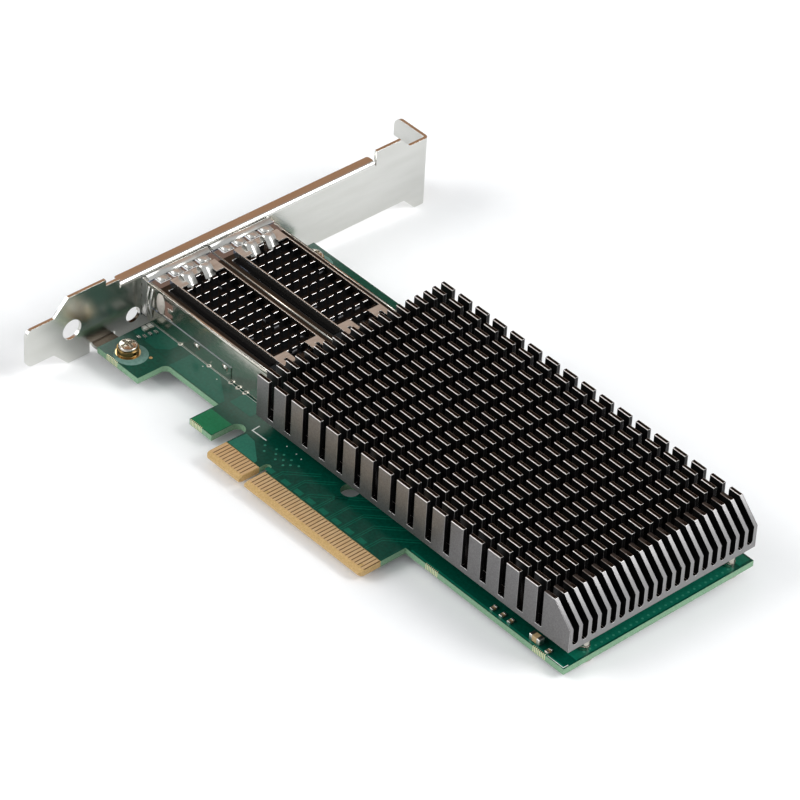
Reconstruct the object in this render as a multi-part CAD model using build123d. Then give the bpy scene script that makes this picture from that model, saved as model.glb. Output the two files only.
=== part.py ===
from build123d import *
import os

# Network interface card with two port cages in front of a large pin heat sink.
# The origin is the middle of the key notch on the contact edge, at the component face.
# X runs from the bracket to the tail, Y from the contacts to the far edge, Z up.
# All sizes are in millimetres.

# Circuit board
board_thickness = 1.57
board_left = -56.0
board_tail = 88.7
board_far = 68.9
board_near = 12.95
foot_right = -41.6
foot_low = 4.7
inner_corner_radius = 1.5
hook_left = -23.4
hook_right = -15.9
tongue_left = -12.15
tongue_right = 39.15
relief_end = 12.5
tongue_corner_radius = 0.8
key_width = 1.9
key_depth = 8.25
bevel_length = 1.1
bevel_depth = 0.4
tooling_hole = (17.3, 16.3)
tooling_hole_diameter = 4.4

# Contact fingers on both faces of the tongue
contact_pitch = 1.0
contact_width = 0.7
contact_first = 1.5
contact_end = 5.7
contact_thickness = 0.05
short_contact_step = 1.2
short_contacts = (5, 36)

# Slot bracket, folded from one sheet
bracket_sheet = 0.86
bracket_gap = 3.5
bend_radius = 0.3
blade_low = -4.05
blade_high = 14.4
blade_start = -0.8
tip = -12.7
tip_low = 0.1
tip_high = 10.3
tip_radius = 1.8
tab_far = 107.3
tab_low = -7.6
tab_high = 11.45
tab_depth = 11.43
tab_radius = 2.5
tab_low_radius = 1.0
tab_slot_width = 4.42
tab_slot_middle = 3.8
tab_slot_depth = 6.35
shoulder_start = 90.7
shoulder_end = 98.4
lower_step = 100.3
flange_start = 14.2
flange_end = 90.4
flange_web = 0.09
flange_depth = 2.85
flange_radius = 0.7
relief_width = 4.3
relief_depth = 1.6
relief_slit = 0.4
ear_near = 9.0
ear_far_gap = 6.1
ear_width = 6.2
ear_end = -46.0
ear_radius = 1.8
ear_relief = 0.6
handle_hole = (0.2, 5.0)
handle_hole_diameter = 5.2
light_hole_height = 0.9
light_hole_diameter = 4.0
light_hole_web = 0.3
window_clearance = 0.2

# Bracket screws with a spring washer and a flat washer under each head
ear_screw_x = -50.4
screw_thread = 2.9
screw_clearance = 0.15
screw_head = 4.4
screw_head_height = 1.6
screw_tip = 1.0
small_round_sides = 12
flat_washer_diameter = 6.0
flat_washer_height = 0.4
spring_washer_diameter = 5.0
spring_washer_height = 0.6
spring_washer_gap = 0.5

# Port cages, ganged side by side with one wall between them
cage_sheet = 0.2
cage_inside = 18.4
cage_height = 10.2
cage_first = 29.7
cage_nose = 1.15
cage_back = -13.3
cage_opening_front = -52.2
cage_opening_back = -16.9
cage_ledge = 1.5
vent_front = -57.6
vent_back = -55.3
vent_width = 3.1
vent_pitch = 3.9
vent_count = 4
tail_first = -45.4
tail_pitch = 10.1
tail_count = 3
tail_width = 0.6
tail_length = 1.5
tail_clearance = 0.2
floor_back = -27.8
floor_wall_front = -57.3
floor_wall_height = 3.95
latch_front = -51.5
latch_back = -48.6
latch_low = 4.4
latch_high = 8.6
latch_tongue = 1.2
spring_sheet = 0.1
spring_band_front = -59.3
spring_band_back = -57.6
spring_finger_width = 2.4
spring_finger_gap = 0.7
spring_finger_setback = 0.3
spring_low = 0.4
spring_tongue_width = 2.5
spring_tongue_length = 1.7

# Port heat sinks and the clips that hold them down
port_sink_clearance = 0.2
port_base_height = 1.3
port_pin_height = 1.5
port_pin_rows = 5
port_pin_row_pitch = 2.48
port_pin_width = 1.4
port_pin_columns = 12
port_pin_column_pitch = 3.04
port_pin_length = 1.0
port_pin_first = -51.4
clip_sheet = 0.3
clip_inset = 1.2
clip_front = -53.2
clip_yoke_back = -51.35
clip_corner_back = -49.4
clip_corner_width = 2.6
clip_finger_offset = 2.95
clip_finger_width = 1.8
clip_finger_back = -49.7
clip_hook_front = -17.4
clip_back = -13.5
clip_hook_width = 3.8
clip_hook_slot = 0.9
clip_rail_radius = 1.2

# Host connectors in the rear of the cages
connector_front = -24.4
connector_length = 10.4
connector_side_gap = 0.5
connector_headroom = 0.5
card_slot_wall = 0.4
card_slot_height = 1.5
card_slot_middle = 4.4
card_slot_depth = 6.0
port_contact_pitch = 0.8
port_contact_width = 0.3
port_contact_sheet = 0.15
port_contact_count = 19

# Main heat sink, extruded along X and then cut across
sink_front = -12.5
sink_tail_gap = 0.7
sink_near = 14.6
sink_far = 69.6
sink_bottom = 3.1
sink_floor = 4.55
sink_top = 14.4
fin_count = 21
fin_thickness = 1.0
channel_root_bevel = 0.55
first_pin_length = 3.79
pin_length = 3.85
cross_slot_width = 1.91
tail_row_length = 8.0
chamfer_length = 5.2
chamfer_height = 5.33

# Posts under the heat sink and their screws
post_diameter = 3.0
post_bore = 2.1
post_inset_x = 2.0
post_near = 21.1
post_far = 63.9
post_screw_thread = 2.0
post_screw_depth = 2.4
post_screw_head = 4.5
post_screw_head_height = 1.4

# Processor stack under the heat sink
controller_place = (38.0, 42.0)
package_size = 31.0
package_height = 1.2
lid_size = 27.0
lid_height = 1.3
pad_size = 25.0

# Other parts on the board
flash_place = (8.0, 58.0)
flash_size = (5.3, 5.3, 1.9)
flash_lift = 0.1
flash_legs = 4
flash_leg_pitch = 1.27
flash_leg_width = 0.4
flash_leg_reach = 1.3
crystal_place = (12.0, 28.0)
crystal_size = (3.2, 2.5, 0.8)
inductor_size = 6.4
inductor_height = 2.7
inductor_first = (62.0, 24.0)
inductor_pitch = 9.5
inductor_count = 4
stage_size = (5.0, 6.0, 0.9)
stage_offset = 8.0
ceramic_size = (0.9, 1.6, 0.8)
ceramic_pitch = 4.6
ceramic_count = 5
ceramic_offset = 2.0
edge_places = (65.6, 68.4, 70.9, 82.8)
edge_row = 14.0
edge_size = (1.0, 0.6, 0.5)
bulk_place = (78.65, 14.6)
bulk_size = (3.2, 1.6, 1.6)
light_size = (1.6, 0.9, 0.8)
light_middle = -54.2
light_count = 2
light_pitch = 1.4

bracket_inner = board_left - bracket_gap
bracket_outer = bracket_inner - bracket_sheet
bend_outer = bend_radius + bracket_sheet
cage_front = bracket_outer - cage_nose
cage_middles = [cage_first, cage_first + cage_inside + cage_sheet]
cages_near = cage_middles[0] - cage_inside / 2 - cage_sheet
cages_far = cage_middles[-1] + cage_inside / 2 + cage_sheet
cage_wall_places = [
    (cages_near, cages_near + cage_sheet),
    (cage_middles[0] + cage_inside / 2, cage_middles[0] + cage_inside / 2 + cage_sheet),
    (cages_far - cage_sheet, cages_far),
]
port_sink_bottom = cage_height - port_base_height
port_sink_top = cage_height + port_pin_height
cage_opening_width = cage_inside - 2 * cage_ledge
clip_reach = cage_opening_width / 2 - clip_inset
clip_top = port_sink_top + clip_sheet
connector_width = cage_inside - 2 * connector_side_gap
connector_height = port_sink_bottom - connector_headroom
light_hole_y = cages_near - window_clearance - light_hole_web - light_hole_diameter / 2
flange_top = cage_height + window_clearance + flange_web + bend_outer
sink_tail = board_tail - sink_tail_gap
board_low = -board_thickness
ear_low = board_low - bracket_sheet
ear_places = [(ear_screw_x, ear_near), (ear_screw_x, cages_far + ear_far_gap)]
post_places = [
    (x, y)
    for x in (sink_front + post_inset_x, sink_tail - post_inset_x)
    for y in (post_near, post_far)
]


def block(x, y, z):
    """Box between two limits along each axis."""
    limits = (x, y, z)
    sizes = [high - low for low, high in limits]
    return Pos(*[(low + high) / 2 for low, high in limits]) * Box(*sizes)


def centred(place, size, bottom):
    """Box of a given size that stands at a place of the board."""
    return Pos(place[0], place[1], bottom + size[2] / 2) * Box(*size)


def rod(place, z, diameter):
    """Upright cylinder at a place of the board, between two heights."""
    return Pos(place[0], place[1], (z[0] + z[1]) / 2) * Cylinder(diameter / 2, z[1] - z[0])


def peg(place, z, diameter):
    """Upright many-sided prism, for the small round fasteners and their holes."""
    section = RegularPolygon(diameter / 2, small_round_sides)
    return Pos(place[0], place[1], z[0]) * extrude(section, z[1] - z[0])


def along_x(outline, x):
    """Outline in Y and Z drawn out along X."""
    face = make_face(Polyline(*outline, close=True))
    return extrude(Plane.YZ.offset(x[0]) * face, x[1] - x[0])


def along_y(outline, y):
    """Outline in X and Z drawn out along Y."""
    face = make_face(Polyline(*outline, close=True))
    return extrude(Plane.XZ.offset(-y[1]) * face, y[1] - y[0])


def save(name, *shapes):
    """Write the solids of one piece, or of a set of like pieces, to its own file."""
    solids = [solid for shape in shapes for solid in shape.solids()]
    piece = solids[0] if len(solids) == 1 else Compound(children=solids)
    export_step(piece, os.path.join("parts", name + ".step"))


def row(count, pitch, middle=0.0):
    """Evenly pitched places about a middle."""
    return [middle + (i - (count - 1) / 2) * pitch for i in range(count)]


def circuit_board():
    """Board with its foot, hook tab and keyed tongue, and every hole that its parts use."""
    z = (board_low, 0)
    board = block((board_left, board_tail), (board_near, board_far), z)
    board += block((board_left, foot_right), (foot_low, board_near), z)
    board += block((hook_left, tongue_left), (foot_low, board_near), z)
    board += block((tongue_left, tongue_right), (0, board_near), z)
    inner_corner = board.edges().filter_by(Axis.Z).sort_by_distance((foot_right, board_near, 0))[0]
    board = fillet(inner_corner, inner_corner_radius)
    outer_corners = board.edges().filter_by(Axis.Z).group_by(Axis.Y)[0]
    board = fillet(outer_corners, tongue_corner_radius)
    relief_middle = (hook_right + tongue_left) / 2
    board -= open_slot(relief_middle, tongue_left - hook_right, -foot_low, relief_end)
    board -= open_slot(0, key_width, -foot_low, key_depth)
    for face, depth in ((0, -bevel_depth), (board_low, bevel_depth)):
        wedge = [(0, face), (bevel_length, face), (0, face + depth)]
        board -= along_x(wedge, (tongue_left, tongue_right))
    for place in ear_places:
        board -= peg(place, z, screw_thread + 2 * screw_clearance)
    for place in post_places:
        board -= peg(place, z, post_screw_thread + 2 * screw_clearance)
    slot = (tail_width + 2 * tail_clearance, cage_sheet + 2 * tail_clearance, board_thickness)
    for wall in cage_wall_places:
        board -= [centred(place, slot, board_low) for place in tail_places(wall)]
    return board - rod(tooling_hole, z, tooling_hole_diameter)


def open_slot(middle, width, start, end):
    """Cutter for a slot through the board, open at the edge and round at its inner end."""
    straight = end - width / 2
    z = (board_low, 0)
    return block((middle - width / 2, middle + width / 2), (start, straight), z) + rod(
        (middle, straight), z, width
    )


def edge_contacts():
    """Contact fingers on both faces, counted outwards from the key notch."""
    fingers = []
    for side, end in ((-1, -tongue_left), (1, tongue_right)):
        count = int((end - contact_first - contact_width / 2) / contact_pitch) + 1
        for i in range(count):
            x = side * (contact_first + i * contact_pitch)
            short = side == 1 and i in short_contacts
            start = bevel_length + (short_contact_step if short else 0)
            fingers.append(finger(x, start, 0))
            fingers.append(finger(x, bevel_length, board_low - contact_thickness))
    return fingers


def finger(x, start, bottom):
    """One contact finger on a face of the tongue."""
    half = contact_width / 2
    return block((x - half, x + half), (start, contact_end), (bottom, bottom + contact_thickness))


def blade_outline():
    """Outline of the bracket's blade in Y and Z, up to where its folds begin."""
    fold = flange_top - bend_outer
    end = tab_far - bend_outer
    low_taper = blade_low - tip_low
    high_taper = blade_high - tip_high
    return [
        (tip, tip_low),
        (blade_start + low_taper, tip_low),
        (blade_start, blade_low),
        (lower_step, blade_low),
        (lower_step + blade_low - tab_low, tab_low),
        (end, tab_low),
        (end, tab_high),
        (shoulder_end + blade_high - tab_high, tab_high),
        (shoulder_end, blade_high),
        (shoulder_start, blade_high),
        (shoulder_start, fold),
        (flange_start - relief_slit, fold),
        (flange_start - relief_slit, blade_high - relief_depth),
        (flange_start - relief_width, blade_high - relief_depth),
        (flange_start - relief_width, blade_high),
        (blade_start, blade_high),
        (blade_start - high_taper, tip_high),
        (tip, tip_high),
    ]


def fold_profile(length):
    """Section of a fold: a flat leg of some length, and the bend that joins it to the blade."""
    leg = Pos((bend_outer + length) / 2, bracket_sheet / 2) * Rectangle(
        length - bend_outer, bracket_sheet
    )
    quarter = Pos(bend_outer / 2, bend_outer / 2) * Rectangle(bend_outer, bend_outer)
    ring = Pos(bend_outer, bend_outer) * (Circle(bend_outer) - Circle(bend_radius))
    return leg + (quarter & ring)


def folded(origin, x_dir, z_dir, length, width):
    """Fold of the bracket, drawn out along its bend line."""
    return extrude(Plane(origin=origin, x_dir=x_dir, z_dir=z_dir) * fold_profile(length), width)


def flange():
    """Side flange, folded outwards along the upper edge of the blade."""
    origin = (bracket_inner, flange_end, flange_top)
    leg = folded(origin, (-1, 0, 0), (0, -1, 0), flange_depth, flange_end - flange_start)
    corners = leg.edges().filter_by(Axis.Z).group_by(Axis.X)[0]
    return fillet(corners, flange_radius)


def top_tab():
    """Tab at the bracket's end, folded outwards, with the open slot for the case screw."""
    origin = (bracket_inner, tab_far, tab_low)
    tab = folded(origin, (-1, 0, 0), (0, 0, 1), tab_depth, tab_high - tab_low)
    low_corner, high_corner = tab.edges().filter_by(Axis.Y).group_by(Axis.X)[0].sort_by(Axis.Z)
    tab = fillet(high_corner, tab_radius)
    low_corner = tab.edges().filter_by(Axis.Y).group_by(Axis.X)[0].sort_by(Axis.Z)[0]
    tab = fillet(low_corner, tab_low_radius)
    outer = bracket_inner - tab_depth
    straight = outer + tab_slot_depth - tab_slot_width / 2
    y = (tab_far - bracket_sheet, tab_far)
    low = tab_slot_middle - tab_slot_width / 2
    tab -= block((outer, straight), y, (low, low + tab_slot_width))
    return tab - along_axis((straight, sum(y) / 2, tab_slot_middle), (90, 0, 0), tab_slot_width)


def along_axis(middle, turn, diameter):
    """Cutter for a round hole through the sheet of the bracket, about its middle."""
    return Pos(*middle) * Rotation(*turn) * Cylinder(diameter / 2, bracket_sheet)


def ear(y):
    """Ear folded inwards under the board, with the hole for a bracket screw."""
    origin = (bracket_outer, y + ear_width / 2, ear_low)
    leg = folded(origin, (1, 0, 0), (0, -1, 0), ear_end - bracket_outer, ear_width)
    corners = leg.edges().filter_by(Axis.Z).group_by(Axis.X)[-1]
    leg = fillet(corners, ear_radius)
    return leg - peg((ear_screw_x, y), (ear_low, board_low), screw_thread + 2 * screw_clearance)


def bracket():
    """Slot bracket with every fold, hole and window."""
    x = (bracket_outer, bracket_inner)
    blade = along_x(blade_outline(), x)
    tip_corners = blade.edges().filter_by(Axis.X).group_by(Axis.Y)[0]
    blade = fillet(tip_corners, tip_radius)
    middle = sum(x) / 2
    blade -= along_axis((middle, *handle_hole), (0, 90, 0), handle_hole_diameter)
    blade -= along_axis((middle, light_hole_y, light_hole_height), (0, 90, 0), light_hole_diameter)
    window_y = (cages_near - window_clearance, cages_far + window_clearance)
    blade -= block(x, window_y, (-window_clearance, cage_height + window_clearance))
    for _, y in ear_places:
        reach = ear_width / 2 + ear_relief
        blade -= block(x, (y - reach, y + reach), (blade_low, ear_low + bend_outer))
        blade += ear(y)
    return blade + flange() + top_tab()


def bracket_screw(place):
    """Pan head screw through both washers, the board and an ear."""
    seat = flat_washer_height + spring_washer_height
    head = peg(place, (seat, seat + screw_head_height), screw_head)
    return head + peg(place, (ear_low - screw_tip, seat), screw_thread)


def washer(place, bottom, height, diameter):
    """Washer about a bracket screw."""
    z = (bottom, bottom + height)
    return peg(place, z, diameter) - peg(place, z, screw_thread + 2 * screw_clearance)


def spring_washer(place):
    """Washer with the open gap that gives it its spring."""
    ring = washer(place, flat_washer_height, spring_washer_height, spring_washer_diameter)
    x, y = place
    gap = spring_washer_gap / 2
    z = (flat_washer_height, flat_washer_height + spring_washer_height)
    return ring - block((x, x + spring_washer_diameter), (y - gap, y + gap), z)


def tail_places(wall):
    """Where the tails of one cage wall pass through the board."""
    return [(tail_first + i * tail_pitch, sum(wall) / 2) for i in range(tail_count)]


def tail(place, width):
    """Blade that a cage wall sends down through the board, or the slot that clears it."""
    return centred(place, (width, cage_sheet, tail_length + cage_sheet), -tail_length)


def cage_shell(middle, walls):
    """Upper sheet of a port: top, back, and the side walls that it has, with tails and openings."""
    y = (middle - cage_inside / 2, middle + cage_inside / 2)
    top = (cage_height - cage_sheet, cage_height)
    shell = block((cage_front, cage_back), y, top)
    shell += block((cage_back - cage_sheet, cage_back), y, (cage_sheet, cage_height))
    opening = cage_opening_width / 2
    shell -= block((cage_opening_front, cage_opening_back), (middle - opening, middle + opening), top)
    for vent in row(vent_count, vent_pitch, middle):
        shell -= block((vent_front, vent_back), (vent - vent_width / 2, vent + vent_width / 2), top)
    for wall in walls:
        shell += block((cage_front, cage_back), wall, (cage_sheet, cage_height)) - latch_window(wall)
        shell += [tail(place, tail_width) for place in tail_places(wall)]
    return shell


def latch_window(wall):
    """Cutter for the window in a side wall, round a tongue that is left at its back."""
    window = block((latch_front, latch_back), wall, (latch_low, latch_high))
    middle = (latch_low + latch_high) / 2
    tongue_z = (middle - latch_tongue / 2, middle + latch_tongue / 2)
    return window - block((latch_front + latch_tongue, latch_back), wall, tongue_z)


def cage_floor(middle, side):
    """Lower sheet of a port, with a low wall folded up outside the cage's outer side."""
    half = cage_inside / 2
    wall = sorted((middle + side * (half + cage_sheet), middle + side * (half + 2 * cage_sheet)))
    under = sorted((middle - side * half, middle + side * (half + cage_sheet)))
    sheet = block((cage_front, floor_back), under, (0, cage_sheet))
    sheet += block((floor_wall_front, floor_back), wall, (0, floor_wall_height))
    return sheet - [
        tail(place, tail_width + 2 * tail_clearance)
        for place_wall in cage_wall_places
        for place in tail_places(place_wall)
    ]


def cage_springs(middle, side):
    """Spring strip over the nose of a port and down the cage's outer side, with its fingers."""
    front = cage_front + spring_finger_setback
    half = cage_inside / 2 + cage_sheet
    inner = middle - side * half
    y = sorted((inner + side * cage_sheet, middle + side * half))
    outer_y = sorted((y[0] if side > 0 else y[1], middle + side * (half + spring_sheet)))
    outer = block((front, spring_band_back), outer_y, (spring_low, cage_height + spring_sheet))
    strip = outer - block((front, spring_band_back), y, (spring_low, cage_height))
    pitch = spring_finger_width + spring_finger_gap
    x = (front, spring_band_front)
    gap = spring_finger_gap / 2
    for place in row(int(cage_inside / pitch), pitch, middle):
        strip -= block(x, (place - gap, place + gap), (cage_height, cage_height + spring_sheet))
    height = (spring_low + cage_height) / 2
    for z in row(int((cage_height - spring_low) / pitch), pitch, height):
        strip -= block(x, outer_y, (z - gap, z + gap))
    x = (spring_band_back, spring_band_back + spring_tongue_length)
    half = spring_tongue_width / 2
    return strip + [
        block(x, (place - half, place + half), (cage_height, cage_height + spring_sheet))
        for place in row(vent_count, vent_pitch, middle)
    ]


def port_heat_sink(middle):
    """Finned block that fills a cage's top opening, with room in its first column for the clip."""
    half = cage_opening_width / 2 - port_sink_clearance
    x = (cage_opening_front + port_sink_clearance, cage_opening_back - port_sink_clearance)
    base = block(x, (middle - half, middle + half), (port_sink_bottom, cage_height))
    size = (port_pin_length, port_pin_width, port_pin_height)
    rows = row(port_pin_rows, port_pin_row_pitch, middle)
    return base + [
        centred((port_pin_first + i * port_pin_column_pitch, y), size, cage_height)
        for i in range(port_pin_columns)
        for y in (rows if i else rows[::2])
    ]


def heat_sink_clip(middle):
    """Clip of one sheet: a yoke with two fingers, a rail along each side, and two rear hooks."""
    top = (port_sink_top, clip_top)
    clip = block((clip_front, clip_yoke_back), (middle - clip_reach, middle + clip_reach), top)
    for side in (-1, 1):
        clip += clip_rail(middle + side * clip_reach, -side)
        clip += clip_finger(middle + side * clip_finger_offset)
    return clip


def clip_rail(edge, inward):
    """One rail of a clip, from its outer edge, with the corner plate and hook bent inwards."""
    def across(low, high):
        return sorted((edge + inward * low, edge + inward * high))

    outline = block((clip_front, clip_back), across(0, clip_sheet), (cage_height, clip_top))
    front = outline.edges().filter_by(Axis.Y).group_by(Axis.X)[0].sort_by(Axis.Z)[0]
    rail = fillet(front, clip_rail_radius)
    top = (port_sink_top, clip_top)
    rail += block((clip_yoke_back, clip_corner_back), across(0, clip_corner_width), top)
    hook = block((clip_hook_front, clip_back), across(0, clip_hook_width), top)
    slot_middle = clip_hook_width / 2
    half = clip_hook_slot / 2
    slot_front = (clip_hook_front + clip_back) / 2
    hook -= block((slot_front, clip_back), across(slot_middle - half, slot_middle + half), top)
    return rail + hook


def clip_finger(middle):
    """Finger bent down from the yoke onto the base of the port heat sink."""
    half = clip_finger_width / 2
    outline = [
        (clip_yoke_back, clip_top),
        (clip_finger_back, cage_height + clip_sheet),
        (clip_finger_back, cage_height),
        (clip_finger_back - clip_sheet, cage_height),
        (clip_yoke_back, port_sink_top),
    ]
    return along_y(outline, (middle - half, middle + half))


def port_connector(middle):
    """Host connector body with the slot that takes a module's card edge."""
    x = (connector_front, connector_front + connector_length)
    half = connector_width / 2
    body = block(x, (middle - half, middle + half), (0, connector_height))
    half -= card_slot_wall
    height = card_slot_height / 2
    return body - block(
        (connector_front, connector_front + card_slot_depth),
        (middle - half, middle + half),
        (card_slot_middle - height, card_slot_middle + height),
    )


def port_contacts():
    """Rows of contacts on the upper and lower wall of both card slots."""
    size = (card_slot_depth, port_contact_width, port_contact_sheet)
    x = connector_front + card_slot_depth / 2
    low = card_slot_middle - card_slot_height / 2
    high = card_slot_middle + card_slot_height / 2 - port_contact_sheet
    return [
        centred((x, y), size, bottom)
        for middle in cage_middles
        for y in row(port_contact_count, port_contact_pitch, middle)
        for bottom in (low, high)
    ]


def heat_sink():
    """Pin heat sink: channels along X, slots across them, and a chamfered tail row."""
    x = (sink_front, sink_tail)
    y = (sink_near, sink_far)
    body = block(x, y, (sink_bottom, sink_top))
    fin_pitch = (sink_far - sink_near - fin_thickness) / (fin_count - 1)
    channel_width = fin_pitch - fin_thickness
    column_pitch = pin_length + cross_slot_width
    first_slot = sink_front + first_pin_length
    room = sink_tail - tail_row_length - cross_slot_width - first_slot
    slots = [first_slot + i * column_pitch for i in range(int(room / column_pitch) + 1)]
    tail_row = slots[-1] + cross_slot_width
    channels = row(fin_count - 1, fin_pitch, (sink_near + sink_far) / 2)
    body -= [channel(middle, channel_width, (sink_front, tail_row), 0) for middle in channels]
    bevel = channel_root_bevel
    body -= [channel(middle, channel_width, (tail_row, sink_tail), bevel) for middle in channels]
    body -= [block((slot, slot + cross_slot_width), y, (sink_floor, sink_top)) for slot in slots]
    wedge = [
        (sink_tail, sink_top - chamfer_height),
        (sink_tail, sink_top),
        (sink_tail - chamfer_length, sink_top),
    ]
    return body - along_y(wedge, y)


def channel(middle, width, x, bevel):
    """Cutter for one channel between two fins, square or bevelled at its root."""
    section = Rectangle(width, sink_top - sink_floor)
    if bevel:
        section = chamfer(section.vertices().group_by(Axis.Y)[0], bevel)
    plane = Plane.YZ.offset(x[0])
    return extrude(plane * Pos(middle, (sink_floor + sink_top) / 2) * section, x[1] - x[0])


def heat_sink_post(place):
    """Turned post between the board and the heat sink, with a bore for its screw."""
    z = (0, sink_bottom)
    return peg(place, z, post_diameter) - peg(place, z, post_bore)


def heat_sink_screw(place):
    """Pan head screw from the solder side into a post."""
    head = peg(place, (board_low - post_screw_head_height, board_low), post_screw_head)
    return head + peg(place, (board_low, post_screw_depth), post_screw_thread)


def controller_package():
    """Body of the processor on the board."""
    return centred(controller_place, (package_size, package_size, package_height), 0)


def controller_lid():
    """Metal lid of the processor."""
    return centred(controller_place, (lid_size, lid_size, lid_height), package_height)


def thermal_pad():
    """Pad that fills the space between the lid and the heat sink."""
    bottom = package_height + lid_height
    return centred(controller_place, (pad_size, pad_size, sink_bottom - bottom), bottom)


def flash_memory():
    """Memory chip on its two rows of legs."""
    x, y = flash_place
    length, width, height = flash_size
    chip = centred(flash_place, (length, width, height - flash_lift), flash_lift)
    leg = (flash_leg_width, width + 2 * flash_leg_reach, 2 * flash_lift)
    return chip + [centred((place, y), leg, 0) for place in row(flash_legs, flash_leg_pitch, x)]


def power_row(offset, size):
    """Like parts of the power supply, in a row along Y."""
    x, y = inductor_first
    return [
        centred((x + offset, y + i * inductor_pitch), size, 0) for i in range(inductor_count)
    ]


def ceramic_capacitors():
    """Small capacitors along two sides of the processor."""
    x, y = controller_place
    offset = package_size / 2 + ceramic_offset
    return [
        centred((place, y + side * offset), ceramic_size, 0)
        for side in (-1, 1)
        for place in row(ceramic_count, ceramic_pitch, x)
    ]


def port_lights():
    """Light sources on the board behind the light hole of the bracket."""
    return [
        centred((light_middle, y), light_size, 0) for y in row(light_count, light_pitch, light_hole_y)
    ]


os.makedirs("parts", exist_ok=True)
save("circuit_board", circuit_board())
save("edge_contacts", *edge_contacts())
save("bracket", bracket())
save("bracket_screws", *[bracket_screw(place) for place in ear_places])
save("spring_washers", *[spring_washer(place) for place in ear_places])
save(
    "flat_washers",
    *[washer(place, 0, flat_washer_height, flat_washer_diameter) for place in ear_places],
)
shell_walls = (cage_wall_places[:2], cage_wall_places[2:])
for name, side, middle, walls in zip(("near", "far"), (-1, 1), cage_middles, shell_walls):
    save(name + "_cage_shell", cage_shell(middle, walls))
    save(name + "_cage_floor", cage_floor(middle, side))
    save(name + "_cage_springs", cage_springs(middle, side))
    save(name + "_port_heat_sink", port_heat_sink(middle))
    save(name + "_heat_sink_clip", heat_sink_clip(middle))
    save(name + "_port_connector", port_connector(middle))
save("port_contacts", *port_contacts())
save("heat_sink", heat_sink())
save("heat_sink_posts", *[heat_sink_post(place) for place in post_places])
save("heat_sink_screws", *[heat_sink_screw(place) for place in post_places])
save("controller_package", controller_package())
save("controller_lid", controller_lid())
save("thermal_pad", thermal_pad())
save("flash_memory", flash_memory())
save("clock_crystal", centred(crystal_place, crystal_size, 0))
save("power_inductors", *power_row(0, (inductor_size, inductor_size, inductor_height)))
save("power_stages", *power_row(stage_offset, stage_size))
save("ceramic_capacitors", *ceramic_capacitors())
save("edge_capacitors", *[centred((x, edge_row), edge_size, 0) for x in edge_places])
save("bulk_capacitor", centred(bulk_place, bulk_size, 0))
save("port_lights", *port_lights())
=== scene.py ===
# %% [markdown]
# # A network interface card on a pale floor
# The solids of the card come from its CAD model. This notebook gives each of them the finish of the
# real piece, and adds what is too fine for the solids: rounded edges, solder mask and copper, screw
# heads, springs, pads and printed lines. The frame is loaded first; the later pieces are placed at
# listed coordinates.

import math

import bmesh
import bpy
import numpy as np
from mathutils import Matrix, Vector


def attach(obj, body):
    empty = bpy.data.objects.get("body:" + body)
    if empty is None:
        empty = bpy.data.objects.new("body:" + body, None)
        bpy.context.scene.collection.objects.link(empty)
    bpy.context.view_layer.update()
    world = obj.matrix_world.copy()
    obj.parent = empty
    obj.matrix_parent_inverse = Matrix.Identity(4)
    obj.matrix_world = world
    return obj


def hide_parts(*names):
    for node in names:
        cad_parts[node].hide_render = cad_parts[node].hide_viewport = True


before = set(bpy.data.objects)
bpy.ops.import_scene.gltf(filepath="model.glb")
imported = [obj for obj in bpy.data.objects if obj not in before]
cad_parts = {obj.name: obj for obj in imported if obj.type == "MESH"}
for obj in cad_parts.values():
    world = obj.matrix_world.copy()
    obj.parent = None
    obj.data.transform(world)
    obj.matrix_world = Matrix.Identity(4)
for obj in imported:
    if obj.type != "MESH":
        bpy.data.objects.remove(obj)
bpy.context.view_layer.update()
print("nodes:", len(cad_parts))

# %% [markdown]
# ## The camera
# The card was seen from the tail side, a little from above, with a long lens. A long lens keeps
# parallel edges nearly parallel, so the camera stands almost a metre away. It could be aimed with a
# constraint, but its three axes are known, so they are written straight into its matrix.

# %% Camera
MM = 0.001
IMAGE = 800
FOCAL = 4526.7
SENSOR = 36.0
EYE = np.array([571.0, -499.2, 627.0]) * MM
RIGHT = np.array([0.6623, 0.7477, 0.0471])
DOWN = np.array([0.4907, -0.3854, -0.7815])

right = RIGHT / np.linalg.norm(RIGHT)
down = DOWN - right * (DOWN @ right)
down /= np.linalg.norm(down)
camera_data = bpy.data.cameras.new("camera")
camera_data.sensor_width = SENSOR
camera_data.lens = FOCAL / IMAGE * SENSOR
camera_data.clip_start = 0.05
camera = bpy.data.objects.new("camera", camera_data)
turn = np.column_stack([right, -down, np.cross(right, -down), EYE])
camera.matrix_world = Matrix([*turn.tolist(), [0.0, 0.0, 0.0, 1.0]])
bpy.context.scene.collection.objects.link(camera)
bpy.context.scene.camera = camera
print("lens in mm:", round(camera_data.lens, 1))

# %% [markdown]
# ## Helpers for materials
# Colours are written as they look on a screen, so one function turns them into the linear values
# that the shaders use. Another adds a node with its settings and links, so that a finish reads as a
# short list. Patterns are sized in millimetres.

# %% Colour and node helpers
def linear(code):
    """Linear colour of an sRGB hex code such as "B8B5A9"."""
    part = np.array([int(code[i:i + 2], 16) for i in (0, 2, 4)]) / 255
    curve = np.where(part <= 0.04045, part / 12.92, ((part + 0.055) / 1.055) ** 2.4)
    return (*curve.tolist(), 1.0)


def per_mm(size):
    """Texture scale at which one feature has this size in millimetres, on coordinates in metres."""
    return 1 / (size * MM)


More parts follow.
